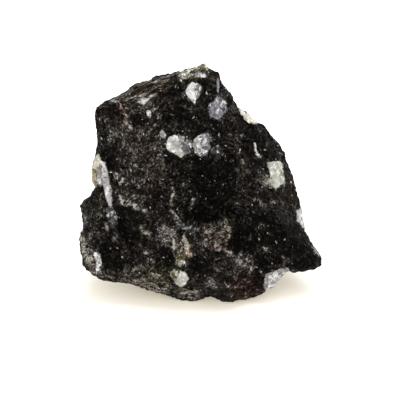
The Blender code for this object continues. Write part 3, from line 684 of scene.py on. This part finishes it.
# each crystal's own distance field, an outline's with its border bent by noise, less the square of
# how far past its depth a point lies from the crystal's own plane; the largest wins
def frontCrystalField(picture, directions):
    right, up, near = picture.T
    size, least, more, most = crystalFit["borderBend"]
    bendRight, bendUp = (latticeNoise(picture, size, seed) for seed in (55, 56))
    shapes = []
    for points, colour, whole in frontCrystals.values():
        bend = min(least + more * (1 - whole), most)
        inside = insideOutline(right + bend * bendRight, up + bend * bendUp, points)
        shapes.append((inside, colour, whole, crystalFit["depth"]))
    for points, half, colour, whole in frontStreaks.values():
        inside = 0.1 + half - fromLine(right, up, points)[0]
        shapes.append((inside, colour, whole, crystalFit["streakDepth"]))
    found = noCrystals(len(right))
    for inside, colour, whole, depth in shapes:
        own = (inside > -0.3) & (directions[:, 2] > -0.1)
        past = np.maximum(np.abs(near - ownPlane(right, up, near, own)) - depth, 0)
        found = winner(found, (inside - (past / crystalFit["fallOff"]) ** 2, linear(colour), whole))
    return found


# evenly spread directions, each turned at random a little: a golden-angle spiral from pole to pole
def spreadDirections(count, draw):
    turn = np.arange(count) * math.pi * (3 - math.sqrt(5))
    height = 1 - 2 * (np.arange(count) + 0.5) / count
    aside = np.sqrt(1 - height**2)
    towards = np.stack([aside * np.cos(turn), aside * np.sin(turn), height], axis=1)
    towards += draw.normal(0, 1.6 / math.sqrt(count), towards.shape)
    return towards / np.linalg.norm(towards, axis=1, keepdims=True)


# distance into a turned box: half sizes less the distance along each of its axes, the least of them
def hiddenCrystalField(points, directions):
    draw = np.random.default_rng(hiddenCrystals["seed"])
    low, high = hiddenCrystals["halfLength"]
    found = noCrystals(len(points))
    for aim in spreadDirections(hiddenCrystals["count"], draw):
        axes, _ = np.linalg.qr(draw.normal(size=(3, 3)))
        length = low + (high - low) * draw.random() ** hiddenCrystals["fewLong"]
        colour, whole = draw.choice(hiddenCrystals["colours"]), draw.uniform(*hiddenCrystals["wholeness"])
        width, thickness = (draw.uniform(*hiddenCrystals[name]) for name in ("width", "thickness"))
        half = length * np.array([1, width, thickness])
        if aim[2] > -0.12:
            continue
        home = points[np.argmax(directions @ aim)] * (1 - hiddenCrystals["sink"])
        inside = (half + 0.1 - np.abs((points - home) @ axes)).min(axis=1)
        found = winner(found, (inside, linear(colour), whole))
    return found


# clusters of the sides, back and underside: squared distance from a random place, over its squared size
def hiddenClusters(points, directions):
    draw = np.random.default_rng(hiddenCrystals["seed"] + 1)
    smallest, largest = hiddenCrystals["clusterSize"]
    for aim in spreadDirections(hiddenCrystals["clusters"], draw):
        size = smallest + (largest - smallest) * draw.random() ** 3
        stretch = draw.uniform(*hiddenCrystals["clusterStretch"], 3)
        colour = draw.choice(hiddenCrystals["clusterColours"])
        much = draw.uniform(*hiddenCrystals["clusterDensity"])
        if aim[2] < -0.05:
            home = points[np.argmax(directions @ aim)]
            yield (((points - home) / (size * stretch)) ** 2).sum(axis=1), colour, much


# noise in how pale the grains are: size and height
grainNoise = {
    "borders": (1.8, 0.7),  # bends the borders of all patches
    "behind": (7.0, 0.9),
    "everywhere": (3.5, 0.25),
    "tints": (5.0, 2.0),
}


# a stain under a share of a tint: the tint over its own mean, which changes hue and not brightness
def tinted(stain, share, colour):
    share, tint = share[:, None], linear(colour)
    return stain * (1 - share + share * tint / tint.mean())


# more pale grains where the share is high, and their tint
def clustered(pale, stain, share, colour, much):
    stain = tinted(stain, np.minimum(share, 1) * 0.35, colour)
    return pale + clusterStrength * much * share, stain


# how pale the grains are and their tint: faces and patches by their outlines, with painted light and shade on
# the faces, then the clusters and threads, each as e to the minus squared distance over its squared size, and
# noise behind
def grainPaint(picture, directions):
    def unevenness(kind, seed):
        size, height = grainNoise[kind]
        return height * latticeNoise(picture, size, seed)

    right, up = picture[:, 0] + unevenness("borders", 61), picture[:, 1] + unevenness("borders", 62)
    seen = np.clip(directions[:, 2] * 4 + 0.3, 0, 1)
    pale = unevenness("behind", 63) * (1 - seen) + unevenness("everywhere", 64)
    # painted light and shade as well as real grains: each face is made paler or darker by its number
    for points, much in grainAndShadeFaces.values():
        pale += seen * much * np.clip(insideOutline(right, up, points) / 0.8 + 0.5, 0, 1)
    stain = np.ones((len(right), 3))
    for centre, half, colour, strength in stains.values():
        stain = tinted(stain, 0.7 * seen * strength * patchShare(right, up, centre, half), colour)
    for x, y, width, height, colour, much in frontClusters:
        apart = ((right - x) / width) ** 2 + ((up - y) / height) ** 2
        pale, stain = clustered(pale, stain, seen * np.exp(-apart), colour, much)
    for points, half, colour, much in frontThreads.values():
        apart = (fromLine(right, up, points)[0] / half) ** 2
        pale, stain = clustered(pale, stain, seen * np.exp(-apart), colour, much)
    for apart, colour, much in hiddenClusters(picture, directions):
        pale, stain = clustered(pale, stain, np.exp(-apart), colour, much)
    for seed, colour in ((65, tints["red"]), (66, tints["blue"]), (67, tints["olive"])):
        share = np.clip(unevenness("tints", seed) - 0.3, 0, 0.4)
        stain = tinted(stain, (1 - 0.7 * seen) * share, colour)
    streaky = seen * np.clip(insideOutline(right, up, streakyBand["outline"]) + 0.5, 0, 1)
    return {"pale": pale, "stain": stain, "streaky": streakyBand["share"] * streaky}


# a plane's slope under each corner: each four-sided face's diagonals crossed, added to its corners
def cornerNormals(points, quads):
    a, b, c, d = (points[quads[:, i]] for i in range(4))
    facing = np.cross(c - a, d - b)
    normals = np.zeros_like(points)
    for axis in range(3):
        for corner in range(4):
            normals[:, axis] += np.bincount(quads[:, corner], facing[:, axis], len(points))
    return normals / np.linalg.norm(normals, axis=1, keepdims=True)


# heights of the fine relief: broken chips and grains, and smooth noise for dust, calmer on crystals
def fineHeights(place, field, whole):
    rough = np.zeros(len(place))
    for kind, seed in (("chips", 70), ("grains", 80)):
        size, height = fineRelief[kind]
        rough += height * fracture(place, size, 0.9, seed)
    size, height = fineRelief["dust"]
    rough += height * latticeNoise(place, size, 90)
    calm = np.clip(field / 0.4 + 0.5, 0, 1) * whole
    return rough * (1 - (1 - fineRelief["onCrystals"]) * calm)


# the stone's points, upright and standing on z = 0, with what is painted on each of them: the
# surface, raised along its normals by the fine relief, drawn in by the eye's distance where it is
# nearer, turned upright, and shrunk towards the heart where it would reach under the floor
def dressedStone():
    directions, quads = cubeSphere(shape["gridSteps"])
    _, keep, back = np.unique(np.round(directions, 7), axis=0, return_index=True, return_inverse=True)
    directions, quads = directions[keep], back.ravel()[quads]
    picture = pictureSurface(directions)
    print("surface worked out,", len(directions), "points")
    seen, hidden = frontCrystalField(picture, directions), hiddenCrystalField(picture, directions)
    field, crystal, whole = winner(seen, hidden)
    paint = {"feldspar": field, "crystal": crystal, "whole": whole, **grainPaint(picture, directions)}
    print("crystals and grains placed")
    heights = fineHeights(picture, field, whole)
    picture = picture + cornerNormals(picture, quads) * heights[:, None]
    opening = 1 - picture[:, 2:] / eye["distance"]
    points = upright(picture * np.concatenate([opening, opening, np.ones_like(opening)], axis=1))
    points *= shape["floorDepth"] / np.maximum(-points[:, 2:], shape["floorDepth"])
    middle = (points.min(axis=0) + points.max(axis=0)) / 2
    offset = np.array([-middle[0], -middle[1], shape["floorDepth"]])
    return points + offset, quads, paint, offset


# a mesh of four-sided faces, given in millimetres, with one attribute for each kind of paint
def makeMesh(name, points, quads, paint):
    mesh = bpy.data.meshes.new(name)
    mesh.vertices.add(len(points))
    mesh.vertices.foreach_set("co", (points * millimetre).ravel())
    mesh.loops.add(quads.size)
    mesh.loops.foreach_set("vertex_index", quads.ravel())
    mesh.polygons.add(len(quads))
    mesh.polygons.foreach_set("loop_start", np.arange(len(quads)) * 4)
    mesh.update(calc_edges=True)
    for layer, values in paint.items():
        if values.ndim == 1:
            mesh.attributes.new(layer, "FLOAT", "POINT").data.foreach_set("value", values)
        else:
            colour = np.column_stack([values, np.ones(len(values))])
            mesh.attributes.new(layer, "FLOAT_COLOR", "POINT").data.foreach_set("color", colour.ravel())
    mesh.shade_smooth()
    piece = bpy.data.objects.new(name, mesh)
    bpy.context.scene.collection.objects.link(piece)
    return piece


# adds one node, with its settings and its inputs, each a plain value or another node's output
def addNode(material, kind, settings=None, inputs=None):
    node = material.node_tree.nodes.new("ShaderNode" + kind)
    for name, value in (settings or {}).items():
        setattr(node, name, value)
    for name, value in (inputs or {}).items():
        if isinstance(value, bpy.types.NodeSocket):
            material.node_tree.links.new(value, node.inputs[name])
        else:
            node.inputs[name].default_value = value
    return node


# the grains between the crystals, sizes in millimetres across
groundmass = {
    "grain": 0.34,
    "fineGrain": 0.18,
    "streakGrain": 0.2,
    "wander": 0.35,
    "bundle": 1.6,  # a bundle of needles that lie one way
    "needleStretch": 0.6,
    "colours": ((0.25, "#020202"), (0.42, "#070605"), (0.52, "#151210"), (0.6, "#272423"),
        (0.68, "#3d3a37"), (0.78, "#67645f"), (0.95, "#a9a7a3")),
    "warmTint": "#f0e4cc",
    # painted highlights: grains above the first number are coloured with the second, as glints of light
    "paintedGlintFrom": 0.994,  # grains whose random number is above this glint
    "paintedGlint": "#d6d4cf",
    "bumpHeight": 0.00016,
    "roughness": (0.35, 0.8),
    "specular": 0.024,
}

feldspar = {
    "cleavage": 0.8,  # millimetres across one cleaved face
    "greyTint": "#85858a",
    # the white of the painted sparkle on the cleaved faces
    "white": "#eeeeeb",
    "dull": 0.85,  # how much of a broken grain in a crystal shows the ground
}


# dark porphyritic rock, broken by a hammer: black and brown mineral grains with pale feldspar grains between
# them, rough and dull, and larger white feldspar crystals whose cleaved faces are painted greyer or whiter,
# the whitest as painted sparkle of light off the cleavage; a few grains are painted as glints
def rockMaterial():
    material = bpy.data.materials.new("dark porphyritic rock, broken")
    material.use_nodes = True
    surface = material.node_tree.nodes["Principled BSDF"]

    # an operation on numbers; MULTIPLY_ADD is a times b plus c
    def number(operation, a, b=0.0, c=0.0, clamp=False):
        settings = {"operation": operation, "use_clamp": clamp}
        return addNode(material, "Math", settings, {0: a, 1: b, 2: c}).outputs[0]

    # a sum of outputs, each times its weight
    def summed(*terms, plus=0.0, clamp=False):
        for output, weight in terms[:-1]:
            plus = number("MULTIPLY_ADD", output, weight, plus)
        return number("MULTIPLY_ADD", *terms[-1], plus, clamp)

    # the same kinds of operation on places
    def vector(operation, a, b=(0.0, 0.0, 0.0), c=(0.0, 0.0, 0.0)):
        return addNode(material, "VectorMath", {"operation": operation}, {0: a, 1: b, 2: c}).outputs[0]

    # what is painted on the mesh
    def layer(name, output="Fac"):
        return addNode(material, "Attribute", {"attribute_name": name}).outputs[output]

    # soft noise, about 0.5 on average
    def noise(size, detail=2.0, source=None):
        inputs = {"Vector": source or place, "Scale": 1 / size, "Detail": detail}
        return addNode(material, "TexNoise", inputs=inputs).outputs

    # grains, and three random numbers from 0 to 1 for each
    def cells(size, source):
        node = addNode(material, "TexVoronoi", inputs={"Vector": source, "Scale": 1 / size})
        return node.outputs, addNode(material, "SeparateColor", inputs={0: node.outputs["Color"]}).outputs

    # a mixture of two colours
    def mixed(factor, a, b, blend="MIX"):
        settings = {"data_type": "RGBA", "blend_type": blend}
        return addNode(material, "Mix", settings, {0: factor, 6: a, 7: b}).outputs[2]

    # one fixed colour
    def fixed(hexColour):
        return (*linear(hexColour), 1)

    # places drawn together along a direction, so that what is made from them is long that way
    def squeezedAlong(direction, stretch):
        settings = {"operation": "DOT_PRODUCT"}
        along = addNode(material, "VectorMath", settings, {0: bent, 1: direction}).outputs["Value"]
        return vector("MULTIPLY_ADD", number("MULTIPLY", along, -stretch), direction, bent)

    # millimetres, and the same bent by noise
    coordinates = addNode(material, "TexCoord").outputs["Object"]
    place = vector("MULTIPLY", coordinates, (1 / millimetre,) * 3)
    swirl = vector("SUBTRACT", noise(0.7)["Color"], (0.5, 0.5, 0.5))
    bent = vector("MULTIPLY_ADD", swirl, (groundmass["wander"],) * 3, place)

    # needles that lie one way in each bundle, and the long grains of the streaky band
    bundle, _ = cells(groundmass["bundle"], bent)
    lean = vector("NORMALIZE", vector("ADD", bundle["Color"], (-0.45, -0.5, -0.15)))
    needles = squeezedAlong(lean, groundmass["needleStretch"])
    grain, big = cells(groundmass["grain"], needles)
    _, small = cells(groundmass["fineGrain"], needles)
    squeezed = squeezedAlong(streakyBand["along"], streakyBand["stretch"])
    _, thread = cells(groundmass["streakGrain"], squeezed)
    threads = summed((noise(0.4, 3.0, squeezed)["Fac"], 0.6), (thread[0], 0.4))

    # how pale each grain is, and its colour
    mineral = summed((small[0], 0.24), (big[0], 0.2), (noise(0.5, 3.0, needles)["Fac"], 0.56))
    inputs = {0: layer("streaky"), 2: mineral, 3: threads}
    mineral = addNode(material, "Mix", {"data_type": "FLOAT"}, inputs).outputs[0]
    wisp = number("ABSOLUTE", number("SUBTRACT", noise(0.9, 3.0, bent)["Fac"], 0.5))
    veil = summed((summed((wisp, -9.0), plus=1.0, clamp=True), 0.12), plus=0.08)
    # the pale layer carries the painted light and shade of the faces as well as the pale grains
    mineral = number("ADD", mineral, summed((noise(2.2)["Fac"], 0.4), (layer("pale"), veil), plus=-0.2))
    ramp = addNode(material, "ValToRGB", inputs={"Fac": mineral})
    elements = ramp.color_ramp.elements
    while len(elements) < len(groundmass["colours"]):
        elements.new(0.5)
    for element, (position, colour) in zip(elements, groundmass["colours"]):
        element.position = position
        element.color = fixed(colour)

    # warm grains and stains on the darker ones, and a few painted glints: grains coloured near white to stand
    # in for highlights of the light
    warm = mixed(number("MULTIPLY", big[1], 0.6), fixed("#ffffff"), fixed(groundmass["warmTint"]))
    dark = summed((mineral, -1.8), plus=2.1, clamp=True)
    ground = mixed(dark, ramp.outputs["Color"], warm, "MULTIPLY")
    ground = mixed(dark, ground, layer("stain", "Color"), "MULTIPLY")
    paintedGlint = number("GREATER_THAN", small[1], groundmass["paintedGlintFrom"])
    paintedGlint = number("MULTIPLY", paintedGlint, number("MULTIPLY", big[0], big[0]))
    ground = mixed(paintedGlint, ground, fixed(groundmass["paintedGlint"]))

    # the crystals' borders, more ragged where a crystal is less whole
    ragged = summed((noise(0.9, 4.0)["Fac"], 1.1), (noise(0.32, 2.0, needles)["Fac"], 0.6), plus=-0.85)
    share = number("MINIMUM", summed((layer("whole"), -4.0), plus=4.4), 1.2)
    edge = summed((ragged, share), plus=layer("feldspar"))
    inside = summed((edge, 4.5), plus=0.5, clamp=True)

    # their cleaved faces: greyer or whiter than the crystal's own colour, partly the crystal's own milky and
    # translucent grey zones and partly painted light and shade of its facets, the whitest as painted sparkle
    # off the cleavage
    _, cleaved = cells(feldspar["cleavage"], bent)
    grey = summed((noise(0.45, 4.0, needles)["Fac"], 0.9), (cleaved[0], 0.36), (small[2], 0.12))
    hue = layer("crystal", "Color")
    cloud = summed((grey, 2.4), (layer("whole"), 2.4), plus=-3.0, clamp=True)
    crystalToneAndLight = mixed(cloud, mixed(1.0, hue, fixed(feldspar["greyTint"]), "MULTIPLY"), hue)
    # painted sparkle: the highest of the faces' numbers lift the colour to white
    crystalToneAndLight = mixed(summed((grey, 3.5), plus=-2.6, clamp=True), crystalToneAndLight, fixed(feldspar["white"]))

    # grains broken out of them, more near the border and where a crystal is less whole
    chance = summed((big[2], 0.4), (small[1], 0.6))
    held = summed((layer("whole"), 0.9), (number("MULTIPLY", edge, 1.2, clamp=True), 0.3), plus=-0.15)
    shows = summed((number("GREATER_THAN", chance, held), -feldspar["dull"]), plus=1.0)
    colour = mixed(number("MULTIPLY", inside, shows), ground, crystalToneAndLight)

    # low bumps of single grains, flatter on the crystals
    bumps = summed((big[2], 0.6), (grain["Distance"], -0.7), (small[2], 0.35), (noise(0.25, 3.0)["Fac"], 0.6))
    bumps = number("MULTIPLY", bumps, summed((inside, -0.6), plus=1.0))
    inputs = {"Strength": 0.8, "Distance": groundmass["bumpHeight"], "Height": bumps}
    bump = addNode(material, "Bump", inputs=inputs)
    low, high = groundmass["roughness"]
    roughness = summed((small[2], high - low), plus=low)

    surface.inputs["Specular IOR Level"].default_value = groundmass["specular"]
    sockets = {"Base Color": colour, "Roughness": roughness, "Normal": bump.outputs["Normal"]}
    for socket, value in sockets.items():
        material.node_tree.links.new(value, surface.inputs[socket])
    return material


# a light tent: white all round, a softbox above and a little behind, and a table lit from below
studio = {
    "floorColour": "#f5f5f3",
    "floorSize": 3.0,
    "glowColour": "#fff0cc",
    "floorGlow": 0.34,
    "worldStrength": 1.15,
    "keyPlace": (50.0, 110.0, 400.0),
    "keySize": 300.0,
    "keyPower": 1.15,
}


# the table: a flat square of matt acrylic with a faint warm light of its own
def paleFloor():
    bpy.ops.mesh.primitive_plane_add(size=studio["floorSize"])
    floor = bpy.context.object
    floor.name = "floor"
    material = bpy.data.materials.new("white acrylic, matt, lit from below")
    material.use_nodes = True
    card = material.node_tree.nodes["Principled BSDF"]
    card.inputs["Base Color"].default_value = (*linear(studio["floorColour"]), 1)
    card.inputs["Roughness"].default_value = 0.9
    card.inputs["Specular IOR Level"].default_value = 0.1
    card.inputs["Emission Color"].default_value = (*linear(studio["glowColour"]), 1)
    card.inputs["Emission Strength"].default_value = studio["floorGlow"]
    floor.data.materials.append(material)


# puts a lamp or a camera at a place and turns it towards another
def aimed(data, location, target):
    holder = bpy.data.objects.new(data.name, data)
    bpy.context.scene.collection.objects.link(holder)
    holder.location = location
    holder.rotation_mode = "QUATERNION"
    holder.rotation_quaternion = (target - location).to_track_quat("-Z", "Y")
    return holder


# even white light from all round, and the softbox aimed at the stone's heart
def softLight(heart):
    world = bpy.data.worlds.new("white room")
    bpy.context.scene.world = world
    world.use_nodes = True
    world.node_tree.nodes["Background"].inputs["Color"].default_value = (1, 1, 1, 1)
    world.node_tree.nodes["Background"].inputs["Strength"].default_value = studio["worldStrength"]
    lamp = bpy.data.lights.new("softbox", "AREA")
    lamp.size = studio["keySize"] * millimetre
    lamp.energy = studio["keyPower"]
    aimed(lamp, Vector(studio["keyPlace"]) * millimetre, heart)


# the camera: at the eye's distance from the heart, up the eye's tilt, aimed a little below the heart
def camera(heart):
    tilt = eye["tilt"]
    pictureUp = Vector((0, math.sin(tilt), math.cos(tilt)))
    towardsEye = Vector((0, -math.cos(tilt), math.sin(tilt)))
    lens = bpy.data.cameras.new("eye")
    lens.lens = eye["lens"]
    lens.sensor_width = eye["sensor"]
    aim = heart - pictureUp * eye["aimBelowHeart"] * millimetre
    bpy.context.scene.camera = aimed(lens, heart + towardsEye * eye["distance"] * millimetre, aim)


points, quads, paint, offset = dressedStone()
heart = Vector(offset) * millimetre
stone = makeMesh("rock", points, quads, paint)
stone.data.materials.append(rockMaterial())
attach(stone, "root")
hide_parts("stone")
print("stone dressed")

bpy.context.scene.view_settings.view_transform = "Standard"
paleFloor()
softLight(heart)
camera(heart)
print("floor, light and camera set")
